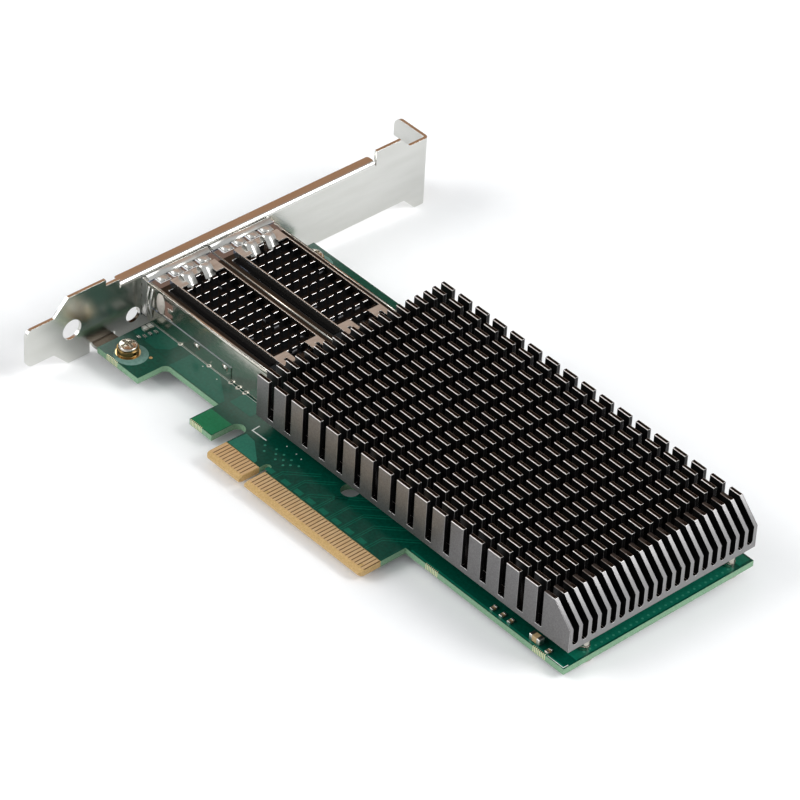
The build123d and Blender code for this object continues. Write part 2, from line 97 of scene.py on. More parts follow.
def add(mat, kind, inputs=None, **settings):
    """Add one node: settings are its properties, inputs are values or the sockets to link from."""
    node = mat.node_tree.nodes.new("ShaderNode" + kind)
    for name, value in settings.items():
        setattr(node, name, value)
    for key, value in (inputs or {}).items():
        if isinstance(value, bpy.types.NodeSocket):
            mat.node_tree.links.new(value, node.inputs[key])
        else:
            node.inputs[key].default_value = value
    return node


def finish(name, **constants):
    """New material with one Principled shader; constants go straight onto its sockets."""
    mat = bpy.data.materials.new(name)
    mat.use_nodes = True
    shader = mat.node_tree.nodes["Principled BSDF"]
    for key, value in constants.items():
        shader.inputs[key.replace("_", " ")].default_value = value
    return mat


def connect(mat, **links):
    """Link sockets into the material's Principled shader."""
    shader = mat.node_tree.nodes["Principled BSDF"]
    for key, socket in links.items():
        mat.node_tree.links.new(socket, shader.inputs[key.replace("_", " ")])


def place_on(mat, stretch=(1.0, 1.0, 1.0)):
    """Object coordinates in metres, stretched along an axis for a finish with a grain."""
    coordinates = add(mat, "TexCoord")
    mapping = add(mat, "Mapping", {"Vector": coordinates.outputs["Object"], "Scale": stretch})
    return mapping.outputs["Vector"]


def ramp(mat, factor, *stops):
    """Colours or greys at places between 0 and 1, blended between them."""
    node = add(mat, "ValToRGB", {"Fac": factor})
    elements = node.color_ramp.elements
    while len(elements) < len(stops):
        elements.new(0.5)
    for element, (where, color) in zip(elements, stops):
        element.position = where
        element.color = linear(color) if isinstance(color, str) else (color, color, color, 1.0)
    return node.outputs["Color"]


def blend(mat, factor, first, second):
    """Second colour laid over the first by a factor."""
    node = add(mat, "Mix", {"Factor": factor}, data_type="RGBA")
    for index, value in ((6, first), (7, second)):
        if isinstance(value, bpy.types.NodeSocket):
            mat.node_tree.links.new(value, node.inputs[index])
        else:
            node.inputs[index].default_value = linear(value)
    return node.outputs[2]


def reckon(mat, operation, first, second=0.0):
    """One calculation between two values or sockets."""
    return add(mat, "Math", {0: first, 1: second}, operation=operation).outputs[0]


# %% [markdown]
# ## Helpers for shapes
# A new shape is worked out as whole arrays of points. A grid of points is closed into a skin, and a
# solid of the CAD model can be copied, cleaned and given small rounded edges, which catch the light
# as the edges of real pressed and milled pieces do.

# %% Mesh helpers
MERGED = 1e-6
FLAT_ANGLE = math.radians(1.0)
EDGE_ANGLE = math.radians(30.0)
SMOOTH_ANGLE = math.radians(35.0)


def tidy_mesh(mesh, smooth, dissolve=False):
    """Merge doubles, optionally join flat faces, and turn all faces outwards."""
    work = bmesh.new()
    work.from_mesh(mesh)
    bmesh.ops.remove_doubles(work, verts=work.verts, dist=MERGED)
    if dissolve:
        bmesh.ops.dissolve_limit(work, angle_limit=FLAT_ANGLE, verts=work.verts, edges=work.edges)
    bmesh.ops.recalc_face_normals(work, faces=work.faces)
    work.to_mesh(mesh)
    work.free()
    mesh.polygons.foreach_set("use_smooth", np.full(len(mesh.polygons), smooth))
    if smooth:
        mesh.set_sharp_from_angle(angle=SMOOTH_ANGLE)


def piece(name, points, faces, mat, smooth=False):
    """Object at the origin from an array of points in millimetres and its faces."""
    mesh = bpy.data.meshes.new(name)
    mesh.from_pydata((np.asarray(points, float) * MM).tolist(), [], [list(map(int, f)) for f in faces])
    mesh.materials.append(mat)
    obj = bpy.data.objects.new(name, mesh)
    bpy.context.scene.collection.objects.link(obj)
    tidy_mesh(mesh, smooth)
    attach(obj, "root")
    return obj


def rounded(obj, width, segments=2, edge_mat=None):
    """Round an object's edges by a width in millimetres, with the shading kept flat between them.
    The rounded strips may have a finish of their own, as where a coating is thin on an edge; a
    lighter one there is partly a painted highlight."""
    bevel = obj.modifiers.new("edges", "BEVEL")
    if edge_mat:
        obj.data.materials.append(edge_mat)
        bevel.material = len(obj.data.materials) - 1
    bevel.width = width * MM
    bevel.segments = segments
    bevel.limit_method = "ANGLE"
    bevel.angle_limit = EDGE_ANGLE
    bevel.harden_normals = True
    obj.data.polygons.foreach_set("use_smooth", np.ones(len(obj.data.polygons), bool))
    obj.data.set_sharp_from_angle(angle=EDGE_ANGLE)
    return obj


def softened(node, mat, width, segments=2, edge_mat=None):
    """Copy of a CAD node with small rounded edges, shown in the node's place."""
    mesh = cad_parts[node].data.copy()
    mesh.name = node + "_edged"
    mesh.materials.clear()
    mesh.materials.append(mat)
    obj = bpy.data.objects.new(node + "_edged", mesh)
    bpy.context.scene.collection.objects.link(obj)
    tidy_mesh(mesh, False, dissolve=True)
    rounded(obj, width, segments, edge_mat=edge_mat)
    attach(obj, "root")
    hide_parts(node)
    return obj


def round_edges_along(obj, axis, height, rest=0.0):
    """Round the level edges along one axis above a height in millimetres, and the rest by a share."""
    mesh = obj.data
    ends = np.empty(len(mesh.edges) * 2, int)
    mesh.edges.foreach_get("vertices", ends)
    places = np.empty(len(mesh.vertices) * 3)
    mesh.vertices.foreach_get("co", places)
    ends, places = ends.reshape(-1, 2), places.reshape(-1, 3)
    run = np.abs(places[ends[:, 1]] - places[ends[:, 0]])
    along = run[:, axis] > 0.99 * np.linalg.norm(run, axis=1)
    chosen = along & (places[ends, 2].min(axis=1) > height * MM)
    sharp = np.empty(len(mesh.edges), bool)
    mesh.attributes["sharp_edge"].data.foreach_get("value", sharp)
    weights = mesh.attributes.new("bevel_weight_edge", "FLOAT", "EDGE")
    weights.data.foreach_set("value", np.where(chosen, 1.0, rest) * sharp)
    obj.modifiers["edges"].limit_method = "WEIGHT"
    print(obj.name, "edges rounded fully:", int(chosen.sum()))


def dress(mat, *nodes):
    """Give CAD nodes a finish without touching their shape."""
    for node in nodes:
        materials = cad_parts[node].data.materials
        materials.clear()
        materials.append(mat)


# %% [markdown]
# ## Light, floor and surroundings
# The card lies on a white sweep between large soft lamps. Its bright sheet metal shows what stands
# round it: white near the floor, and beyond the bracket a dim, warm corner of the room. That is why
# the flange looks brown. The tops of the pins look nearly black mostly through a near black painted
# reflection in their own colour. A world whose colour changes with direction gives that without
# any image, and only reflections see the warm corner.

# %% World
DIM_CORNER = (-0.566, 0.541, 0.622)
world = bpy.data.worlds.new("studio")
bpy.context.scene.world = world
world.use_nodes = True
bpy.context.scene.view_settings.view_transform = "Standard"
way = add(world, "TexCoord").outputs["Generated"]
height = add(world, "SeparateXYZ", {"Vector": way}).outputs["Z"]
room = ramp(world, height, (0.0, "FFFFFF"), (0.2, "F2F4F6"), (0.6, "C8CBCE"), (1.0, "C0C3C6"))
toward = add(world, "VectorMath", {0: way, 1: DIM_CORNER}, operation="DOT_PRODUCT").outputs["Value"]
dim = ramp(world, toward, (0.62, 0.0), (0.9, 1.0))
mirrored = add(world, "LightPath").outputs["Is Glossy Ray"]
walls = blend(world, reckon(world, "MULTIPLY", dim, mirrored), room, "C69877")
background = world.node_tree.nodes["Background"]
world.node_tree.links.new(walls, background.inputs["Color"])
background.inputs["Strength"].default_value = 0.8

# %% [markdown]
# ### Lamps
# Two square lamps give the bright strokes. One stands beyond the long near side and lights the broken
# edges of the pins. The other stands beyond the tail and lights the chamfered row.

# %% Lamps
def soft_lamp(name, way, distance, size, power):
    """Square area lamp in a direction from the middle of the card, facing the card."""
    data = bpy.data.lights.new(name, "AREA")
    data.size = size
    data.energy = power
    lamp = bpy.data.objects.new(name, data)
    lamp.location = Vector(way).normalized() * distance + Vector((0.0, 0.04, 0.0))
    lamp.rotation_euler = Vector(way).to_track_quat("Z", "Y").to_euler()
    bpy.context.scene.collection.objects.link(lamp)


soft_lamp("near_lamp", (-0.50, -0.65, 0.60), 1.2, 0.7, 7.5)
soft_lamp("tail_lamp", (0.66, 0.50, 0.60), 1.2, 0.6, 9.2)
print("lamps:", len(bpy.data.lights))

# %% [markdown]
# ### Floor
# The card rests on the corner of the bracket's tab, on the bracket's lower edge and on the screw head
# near the tail, so the floor is the plane through these three places. It is a matt white sheet. Seen
# by the camera or in a reflection it is a little brighter than lit, and it keeps the card's shadow.

# %% Floor
def floor_plane():
    """Height of the floor at the corners of a large square, from three points of contact in mm."""
    touch = np.array([[-59.54, 103.89, -7.6], [86.5, 20.6, -2.94], [-59.54, -0.76, -4.05]])
    normal = np.cross(touch[1] - touch[0], touch[2] - touch[0])
    normal /= normal[2]
    corners = np.array([[-1, -1], [1, -1], [1, 1], [-1, 1]]) * 2500.0
    drop = (corners - touch[0, :2]) @ normal[:2]
    return np.column_stack([corners, touch[0, 2] - drop - 0.02]), normal


corners, floor_normal = floor_plane()
tilt = math.degrees(math.acos(1 / np.linalg.norm(floor_normal)))
print("tilt of the card on its floor in degrees:", round(tilt, 2))

sheet = finish("matt_white_sweep", Roughness=0.9, Specular_IOR_Level=0.1, Emission_Color=linear("FFFFFF"))
grain = add(sheet, "TexNoise", {"Vector": place_on(sheet), "Scale": per_mm(6.0), "Detail": 3.0})
connect(sheet, Base_Color=ramp(sheet, grain.outputs["Fac"], (0.3, "F8F8F8"), (0.7, "FAFAFA")))
ray = add(sheet, "LightPath").outputs
seen = reckon(sheet, "MAXIMUM", ray["Is Camera Ray"], reckon(
    sheet, "MAXIMUM", ray["Is Glossy Ray"], ray["Is Transmission Ray"]))
connect(sheet, Emission_Strength=reckon(sheet, "MULTIPLY", seen, 0.05))
floor_mesh = bpy.data.meshes.new("floor")
floor_mesh.from_pydata((corners * MM).tolist(), [], [[0, 1, 2, 3]])
floor_mesh.materials.append(sheet)
floor = bpy.data.objects.new("floor", floor_mesh)
bpy.context.scene.collection.objects.link(floor)

# %% [markdown]
# ## The large heat sink
# It is aluminium, drawn through a die along its length and then cut across, so its faces are flat
# with a faint drawn grain. The anodised layer is a satin grey. A copy of the solid with 0.17 mm
# rounded edges shows the thin bright lines along the pins that a sharp solid can't show.

# %% Anodised aluminium, satin
SINK_MIDDLE_Y = 42.1
SINK_SIDES_FROM = 27.3
SINK_TAIL_X = 81.0


def anodised(name, outer, inner, top, rough):
    """Oxide over metal, slightly cloudy, with a grain drawn along X. The dye of a real block is even.
    These colours differ by where a face looks, because they are matched to the photograph's view:
    two outer ones for the long sides, one for the faces that look to the tail, painted with the light
    they catch and also duller, a darker painted shade for the channels (inner), and a near black
    painted reflection on the tops."""
    mat = finish(name, Metallic=0.85)
    place = place_on(mat)
    cloud = add(mat, "TexNoise", {"Vector": place, "Scale": per_mm(0.35), "Detail": 5.0})
    lines = add(mat, "TexNoise", {
        "Vector": place_on(mat, (0.08, 1.0, 1.0)), "Scale": per_mm(0.25), "Detail": 3.0})
    facing = add(mat, "SeparateXYZ", {"Vector": add(mat, "NewGeometry").outputs["Normal"]}).outputs
    axes = add(mat, "SeparateXYZ", {"Vector": place}).outputs
    # Painted light and shade by facing: a near black painted reflection on the tops, painted shade in the
    # channels and painted light on the faces that look to the tail.
    middle = reckon(mat, "ABSOLUTE", reckon(mat, "SUBTRACT", axes["Y"], SINK_MIDDLE_Y * MM))
    long_side = reckon(mat, "GREATER_THAN", middle, SINK_SIDES_FROM * MM)
    tail = reckon(mat, "MULTIPLY", reckon(mat, "GREATER_THAN", axes["X"], SINK_TAIL_X * MM),
                  reckon(mat, "GREATER_THAN", facing["X"], 0.4))
    painted_dark_top = ramp(mat, facing["Z"], (0.88, 0.0), (0.97, 1.0))
    outer_color = ramp(mat, cloud.outputs["Fac"], (0.3, outer[0]), (0.7, outer[1]))
    sides = blend(mat, long_side, blend(mat, tail, inner, outer[2]), outer_color)
    connect(mat, Base_Color=blend(mat, painted_dark_top, sides, top))
    span = add(mat, "MapRange", {
        "Value": cloud.outputs["Fac"], "To Min": rough - 0.04, "To Max": rough + 0.04})
    bump = add(mat, "Bump", {"Height": lines.outputs["Fac"], "Strength": 0.18, "Distance": 0.00002})
    matt_tail = reckon(mat, "ADD", span.outputs["Result"], reckon(mat, "MULTIPLY", tail, 0.14))
    connect(mat, Roughness=matt_tail, Normal=bump.outputs["Normal"])
    return mat


def bare(name, dark, light, rough):
    """Bare metal on a rounded edge, with fine scratches. Its lighter colour is partly wear and partly a
    painted highlight.
    """
    mat = finish(name, Metallic=1.0, Roughness=rough)
    scratch = add(mat, "TexNoise", {"Vector": place_on(mat), "Scale": per_mm(0.3), "Detail": 3.0})
    connect(mat, Base_Color=ramp(mat, scratch.outputs["Fac"], (0.3, dark), (0.7, light)))
    return mat


grey_anodise = anodised("aluminium_anodised_grey", ("6A6868", "7E7C7C", "908F8F"), "2C2B2B", "121111", 0.38)
# The rounded edges' lighter colour is partly thin oxide and partly a painted highlight along the pins.
worn_edge_and_highlight = bare("aluminium_edge_thin_oxide_and_painted_highlight", "A4A3A2", "BEBDBC", 0.3)
sink = softened("heat_sink", grey_anodise, 0.17, edge_mat=worn_edge_and_highlight)
round_edges_along(sink, 0, 14.3, 0.3)

# %% [markdown]
# ## The port heat sinks
# These small milled blocks have a darker oxide. Their strips are drawn along the card and then cut
# across into pins, so only the edges of the cuts are broken, and each pin shows one short bright
# stroke. The rounding is therefore limited to the top edges that lie across the card.

# %% Dark anodised port heat sinks
dark_anodise = anodised("aluminium_anodised_dark", ("2E2E30", "3A3A3C", "29292B"), "2C2C2E", "151516", 0.33)
# The cut edges' light colour is partly bare metal and partly a painted highlight: it makes each pin's bright
# stroke.
cut_edge_and_highlight = bare("aluminium_edge_cut_and_painted_highlight", "C4C4C4", "DADADA", 0.25)
for side in ("near", "far"):
    block = softened(side + "_port_heat_sink", dark_anodise, 0.17, 1, cut_edge_and_highlight)
    round_edges_along(block, 1, 11.6)

# %% [markdown]
# ## The slot bracket
# It is steel sheet, folded and plated with nickel. The plating is bright but the rolled sheet under
# it is not quite flat, so reflections in it are soft and a little streaky. Its faces that look up
# below the board's face carry a painted dark reflection, only to match the photograph's view.

# %% Nickel plated sheet
CLIP_FRONT_X = -53.8
FOLD_TOP_Z = 0.3


def plated(name, dark, light, rough, grain_mm, waviness=0.1, metallic=1.0,
           top=None, side=None, fold=None):
    """Plated sheet metal: pale colour, soft streaks of roughness and a hint of waviness. A real sheet
    has one colour. Three of these aren't its own: top (in front of the clips, behind them), side
    (faces that look to the near side) and fold (faces that look up, below the board's face). They
    are matched to what such faces mirror in the photograph's view, and can look wrong elsewhere."""
    mat = finish(name, Metallic=metallic)
    streak = add(mat, "TexNoise", {
        "Vector": place_on(mat, (1.0, 0.15, 1.0)), "Scale": per_mm(grain_mm), "Detail": 4.0})
    color = ramp(mat, streak.outputs["Fac"], (0.3, dark), (0.7, light))
    facing = add(mat, "SeparateXYZ", {"Vector": add(mat, "NewGeometry").outputs["Normal"]}).outputs
    axes = add(mat, "SeparateXYZ", {"Vector": place_on(mat)}).outputs
    if top:
        behind = reckon(mat, "GREATER_THAN", axes["X"], CLIP_FRONT_X * MM)
        tops = blend(mat, behind, *top)
        color = blend(mat, ramp(mat, facing["Z"], (0.9, 0.0), (0.98, 1.0)), color, tops)
    if side:
        near = reckon(mat, "MULTIPLY", facing["Y"], -1.0)
        color = blend(mat, ramp(mat, near, (0.85, 0.0), (0.95, 1.0)), color, side)
    if fold:
        low = reckon(mat, "LESS_THAN", axes["Z"], FOLD_TOP_Z * MM)
        turned_up = reckon(mat, "GREATER_THAN", facing["Z"], 0.1)
        color = blend(mat, reckon(mat, "MULTIPLY", low, turned_up), color, fold)
    connect(mat, Base_Color=color)
    span = add(mat, "MapRange", {
        "Value": streak.outputs["Fac"], "To Min": rough - 0.05, "To Max": rough + 0.05})
    wave = add(mat, "TexNoise", {"Vector": place_on(mat), "Scale": per_mm(6.0), "Detail": 1.0})
    bump = add(mat, "Bump", {"Height": wave.outputs["Fac"], "Strength": waviness, "Distance": 0.0002})
    connect(mat, Roughness=span.outputs["Result"], Normal=bump.outputs["Normal"])
    return mat


# The fold colour is a painted dark reflection on the faces that look up below the board's face.
bracket_nickel = plated("steel_nickel_plated_satin", "CFCFCA", "DADAD6", 0.25, 3.0, 0.06, fold="302A23")
bracket = softened("bracket", bracket_nickel, 0.14)
print("bracket faces before rounding:", len(bracket.data.polygons))

# %% [markdown]
# ## Cages, springs and clips
# The cages are folded from bright nickel silver sheet 0.2 mm thick, so their edges are only a thin
# bright line. The springs and the clips are harder strip, with a mirror-like rolled face.
#
# The cages' tops are tinted blue in front of the clips and darkened behind them. That makes up for the
# dim, warm corner of the room, which they mirror in the photograph's view. From behind the front of
# the tops looks blue, which nickel silver isn't.

# %% Cage sheet and springs
cage_nickel = plated("nickel_silver_sheet_bright", "CBC9BF", "DBD9CF", 0.2, 0.8, 0.25,
                     top=("A3AEC4", "43484C"))
spring_steel = plated("spring_steel_strip_bright", "C4C3BE", "D8D7D2", 0.24, 0.5, 0.2, 0.7)
# The clips' faces that look to the near side carry a painted dark reflection (side).
clip_steel = plated("spring_steel_clip_with_painted_side", "C0BFBA", "D6D5D0", 0.24, 0.5, 0.2, 0.7,
                    side="2E2B28")
rolled_edge = bare("nickel_silver_edge_sheared", "D2CFC4", "E2DFD6", 0.25)
for side in ("near", "far"):
    softened(side + "_cage_shell", cage_nickel, 0.08, 1, rolled_edge)
    softened(side + "_cage_springs", spring_steel, 0.04, 1)
    softened(side + "_heat_sink_clip", clip_steel, 0.08)
dress(cage_nickel, "near_cage_floor", "far_cage_floor")

# %% [markdown]
# ## Moulded and fired surfaces
# Moulded plastic and fired ceramic scatter the light, with a fine matt grain. A few of these pieces
# are hidden under the large heat sink, and are finished in the same way.

# %% Moulded and fired finishes
def moulded(name, dark, light, rough, grain_mm):
    """Moulded or fired surface: even colour with a fine matt grain."""
    mat = finish(name, Roughness=rough, IOR=1.5)
    grain = add(mat, "TexNoise", {"Vector": place_on(mat), "Scale": per_mm(grain_mm), "Detail": 2.0})
    bump = add(mat, "Bump", {"Height": grain.outputs["Fac"], "Strength": 0.3, "Distance": 0.00002})
    connect(mat, Base_Color=ramp(mat, grain.outputs["Fac"], (0.3, dark), (0.7, light)),
            Normal=bump.outputs["Normal"])
    return mat


crystal_polymer = moulded("liquid_crystal_polymer_black", "17171A", "1E1E21", 0.5, 0.2)
dress(crystal_polymer, "near_port_connector", "far_port_connector")
epoxy_black = moulded("epoxy_moulded_black", "1B1C1E", "232427", 0.6, 0.15)
dress(epoxy_black, "controller_package", "flash_memory", "power_stages")
dress(plated("copper_nickel_plated_lid", "A9A9A7", "B7B7B4", 0.35, 1.0), "controller_lid", "clock_crystal")
dress(moulded("silicone_pad_grey", "8F949C", "9CA1A8", 0.8, 0.3), "thermal_pad")
dress(moulded("iron_powder_pressed", "3A3A3D", "47474A", 0.7, 0.2), "power_inductors")

# %% [markdown]
# ## The board
# A printed board is glass cloth in epoxy with copper on both faces, under a thin green solder mask.
# Where copper lies under the mask it looks lighter, and bare laminate under it looks dark. Above the
# contact fingers the mask stops, so the tan laminate shows. An image could carry all this, but one
# material that reads the place and the direction of a face does it from real sizes: the tongue is
# told from the rest by its place, and the cut edges by their direction.

# %% Solder mask over laminate, with bare laminate on the tongue and the edges
TONGUE_X = (-12.5, 39.5)
TONGUE_TOP_Y = 5.9

mask = finish("solder_mask_green_gloss", Roughness=0.34, IOR=1.5, Specular_IOR_Level=0.2)
board_place = place_on(mask)
axes = add(mask, "SeparateXYZ", {"Vector": board_place})
facing = add(mask, "SeparateXYZ", {"Vector": add(mask, "NewGeometry").outputs["Normal"]})
cloth = add(mask, "TexNoise", {"Vector": board_place, "Scale": per_mm(0.7), "Detail": 3.0})
green = ramp(mask, cloth.outputs["Fac"], (0.35, "003B2D"), (0.65, "00493A"))
fibres = add(mask, "TexNoise", {"Vector": board_place, "Scale": per_mm(0.35), "Detail": 2.0})
edge_green = ramp(mask, fibres.outputs["Fac"], (0.3, "6F9476"), (0.7, "86A98A"))
tan = ramp(mask, fibres.outputs["Fac"], (0.3, "B5955F"), (0.7, "CDAC78"))
steep = reckon(mask, "LESS_THAN", reckon(mask, "ABSOLUTE", facing.outputs["Z"]), 0.5)
right_of = reckon(mask, "GREATER_THAN", axes.outputs["X"], TONGUE_X[0] * MM)
left_of = reckon(mask, "LESS_THAN", axes.outputs["X"], TONGUE_X[1] * MM)
low_of = reckon(mask, "LESS_THAN", axes.outputs["Y"], TONGUE_TOP_Y * MM)
tongue = reckon(mask, "MULTIPLY", reckon(mask, "MULTIPLY", right_of, left_of), low_of)
connect(mask, Base_Color=blend(mask, tongue, blend(mask, steep, green, edge_green), tan))
dress(mask, "circuit_board")

# %% [markdown]
# ### Copper under the mask
# Tracks, copper fields and pads are a few hundredths of a millimetre high, so they are laid on the
# board as very thin slabs under their own shade of green. A track is a path with a width: the path's
# points are moved to both sides along the mean normal of the runs that meet there.

# %% Thin slabs and tracks
def slabs(name, outlines, z, mat):
    """One mesh of upright prisms: each outline is a ring of points in X and Y, between two heights."""
    points, faces, start = [], [], 0
    for outline in outlines:
        ring = np.asarray(outline, float)
        if ((ring[:, 0] * np.roll(ring[:, 1], -1)) - (np.roll(ring[:, 0], -1) * ring[:, 1])).sum() < 0:
            ring = ring[::-1]
        count = len(ring)
        low, high = (np.column_stack([ring, np.full(count, height)]) for height in z)
        points += [low, high]
        here = np.arange(count) + start
        after = np.roll(here, -1)
        sides = np.column_stack([here, after, after + count, here + count])
        faces += [here[::-1].tolist(), (here + count).tolist(), *sides.tolist()]
        start += 2 * count
    return piece(name, np.vstack(points), faces, mat)


def track(path, width):
    """Outline of a track: every point of the path moved half a width along its mean normal."""
    path = np.asarray(path, float)
    run = np.diff(path, axis=0)
    normal = np.column_stack([-run[:, 1], run[:, 0]]) / np.linalg.norm(run, axis=1)[:, None]
    mean = np.vstack([normal[:1], normal[:-1] + normal[1:], normal[-1:]])
    mean /= (mean ** 2).sum(axis=1)[:, None] ** 0.5
    stretch = 1 / np.clip((mean * np.vstack([normal[:1], normal])).sum(axis=1), 0.4, 1)
    side = mean * stretch[:, None] * width / 2
    return np.vstack([path + side, (path - side)[::-1]])


def disc(centre, radius, count):
    """Ring of points about a centre."""
    angle = np.arange(count) * 2 * math.pi / count
    return np.asarray(centre) + radius * np.column_stack([np.cos(angle), np.sin(angle)])


def rectangle(x, y):
    """Ring of the four corners between limits in X and Y."""
    return [(x[0], y[0]), (x[1], y[0]), (x[1], y[1]), (x[0], y[1])]


def masked(name, dark, light, rough=0.38):
    """Solder mask over copper: a clearer, lighter green with faint cloudiness."""
    mat = finish(name, Roughness=rough, IOR=1.5, Specular_IOR_Level=0.2)
    cloud = add(mat, "TexNoise", {"Vector": place_on(mat), "Scale": per_mm(0.7), "Detail": 3.0})
    connect(mat, Base_Color=ramp(mat, cloud.outputs["Fac"], (0.3, dark), (0.7, light)))
    return mat


over_copper = masked("solder_mask_over_copper", "035040", "0A5C4A")
over_tracks = masked("solder_mask_over_tracks", "075D48", "0F6A54")
over_vias = masked("solder_mask_over_plated_holes", "2F7D66", "3C8A73")
over_clear = masked("solder_mask_over_clear_laminate", "136B45", "1A774F")
over_grey = masked("solder_mask_over_grey_laminate", "1E6A56", "2A7763")
keepout = masked("mask_free_laminate", "5C7F75", "739389", 0.5)

# %% [markdown]
# ### Copper fields
# Wide areas of copper show as lighter green fields: on the hook, beside the contacts, beside the near
# cage and along the tail. Every layer starts a little inside the board, so that no gap shows.

# %% Copper fields on the component face
BOARD_LOW = -1.57
FIELD_Z, TRACK_Z, PAD_Z, BARE_Z = ((-0.01, top) for top in (0.012, 0.016, 0.02, 0.008))
UNDER_Z = (BOARD_LOW - 0.012, BOARD_LOW + 0.01)
EAR_PLACES = ((-50.4, 9.0), (-50.4, 63.8))
slabs("copper_field_hook", [rectangle((-23.2, -16.1), (4.9, 10.7))], FIELD_Z, over_clear)
slabs("copper_field_tongue", [[(-11.9, 6.1), (-2.9, 6.1), (-2.9, 6.9), (-8.5, 10.9), (-11.6, 11.2)]],
      FIELD_Z, over_grey)
slabs("copper_fields_cage", [
    [(-41.0, 13.3), (-23.5, 13.3), (-23.3, 14.7), (-31.0, 19.8), (-41.0, 19.8)],
    [(-22.6, 15.6), (-15.6, 15.6), (-15.6, 17.6), (-18.4, 20.0), (-22.6, 20.0)],
    [(-55.6, 14.6), (-47.5, 14.6), (-45.2, 17.0), (-45.2, 19.8), (-55.6, 19.8)]], FIELD_Z, over_copper)
slabs("copper_fields_tail", [rectangle((41.0, 88.0), (65.2, 68.4)), rectangle((84.9, 88.2), (17.0, 63.5)),
                             rectangle((40.5, 88.2), (13.2, 13.7))], FIELD_Z, over_tracks)

# %% [markdown]
# ### Tracks
# From the contacts run pairs of tracks, straight at first and then at 45 degrees under the heat sink.
# One pair turns early and one stops short, so that both keep clear of the tooling hole.

# %% Tracks from the contact fingers
TRACK_WIDTH = 0.2
PAIR_HALF = 0.28
pair_starts = np.array([3.6, 8.9, 13.1, 17.1, 21.4, 25.6, 29.8, 33.9])
bends = np.array([8.7, 10.6, 8.2, 12.2, 12.6, 12.9, 12.2, 11.0])
reaches = np.where(pair_starts == 8.9, 5.0, 6.0)
tracks = []
for x, bend, reach in zip(pair_starts, bends, reaches):
    for shift in (-PAIR_HALF, PAIR_HALF):
        stops = [(x + shift, 5.8), (x + shift, bend - shift), (x + shift + reach, bend + reach - shift)]
        tracks.append(track(stops, TRACK_WIDTH))
slabs("tracks_contacts", tracks, TRACK_Z, over_tracks)
ground = [rectangle((x - 1.15, x + 1.15), (6.45, 7.75)) for x in pair_starts - 2.3]
slabs("pads_ground", ground, FIELD_Z, over_tracks)
print("tracks:", len(tracks))

# %% [markdown]
# ### Plated holes and bare pads
# Small plated holes under the mask show as pale dots. Round the two bracket screws the pads are bare
# gold, and outside them lies a ring of laminate without mask.

# %% Plated holes under the mask and bare pads
dots = [(-6.0, 11.8), (-4.6, 10.4), (-0.9, 10.4), (-0.9, 12.9), (0.4, 11.6), (1.5, 13.0),
        (1.7, 10.4), (2.7, 11.7), (4.1, 12.9), (-3.4, 12.9), (-2.2, 11.7)]
tail_dots = [(87.4, y) for y in np.arange(20.0, 64.0, 1.7)]
slabs("via_pads", [disc(dot, 0.3, 12) for dot in (*dots, *tail_dots)], PAD_Z, over_vias)
gold = plated("gold_plated_pads", "CDB07A", "DEC393", 0.32, 0.4, 0.1)
slabs("pads_bracket_screws", [disc(place, 2.9, 40) for place in EAR_PLACES], PAD_Z, gold)
slabs("pads_small", [disc(place, 0.42, 16) for place in ((-45.6, 11.7), (-46.9, 66.0))], PAD_Z, gold)
slabs("keepouts", [disc((x + 1.1, y), 4.0, 48) for x, y in EAR_PLACES], BARE_Z, keepout)
print("plated holes on top:", len(dots) + len(tail_dots))

# %% [markdown]
# ### Printed lines, and stubs at the cut edges
# White ink marks the outline of the cages and the corners of the processor's area. At a few places
# the board was held by the plating bars of its panel: there the cut edge shows a short row of pale
# metal stubs.

# %% White ink and edge stubs
ink = moulded("epoxy_ink_white", "DADFD8", "ECEFEA", 0.6, 0.3)
lines = [track([(-11.86, 15.2), (-11.7, 12.95), (-7.1, 13.1)], 0.3),
         track([(83.5, 13.25), (88.3, 13.25), (88.3, 14.6)], 0.16),
         track([(-55.6, 19.95), (-14.0, 19.95)], 0.07),
         track([(-55.6, 58.1), (-14.0, 58.1)], 0.07)]
ink_dots = ((-2.7, 15.3), (0.6, 15.2), (2.6, 14.9), (-36.0, 18.9), (-30.5, 18.4))
lines += [disc(dot, 0.16, 8) for dot in ink_dots]
slabs("printed_lines", lines, PAD_Z, ink)

stub_metal = plated("copper_tinned_edge_stubs", "DAD2A4", "EAE3BC", 0.4, 0.3, 0.1, 0.3)
stub_starts = [(45.7, 12.95), (79.3, 12.95), (-23.0, 4.7), (-52.6, 4.7)]
STUB_PITCH = 0.5
stubs = [rectangle((x + i * STUB_PITCH, x + i * STUB_PITCH + 0.22), (y - 0.03, y + 0.3))
         for x, y in stub_starts for i in range(8)]
slabs("edge_stubs", stubs, (BOARD_LOW + 0.15, 0.014), stub_metal)
print("printed marks and edge stubs:", len(lines), len(stubs))

# %% [markdown]
# ## Contact fingers
# Hard gold over nickel over copper. Between the fingers the laminate lies a little deeper, and its
# darker brown there is painted shade, which draws the thin brown lines of the photograph.

# %% Hard gold
hard_gold = plated("gold_hard_plated_fingers", "DDBD8C", "E8CC9F", 0.4, 0.4, 0.1, 0.5)
dress(hard_gold, "edge_contacts", "port_contacts")
FIRST_GAP = 2.0
GAP_HALF = 0.13
gap_places = [*(FIRST_GAP + np.arange(38)), *(-FIRST_GAP - np.arange(10))]
gaps = [rectangle((x - GAP_HALF, x + GAP_HALF), (1.3, 5.75)) for x in gap_places]
# Painted shade: the bare laminate between the fingers is drawn darker than on the tongue.
groove = moulded("laminate_bare_with_painted_shade", "5E4524", "6E5330", 0.6, 0.3)
slabs("finger_gaps", gaps, FIELD_Z, groove)
slabs("finger_gaps_under", gaps, UNDER_Z, groove)
print("gaps between contacts on each face:", len(gaps))

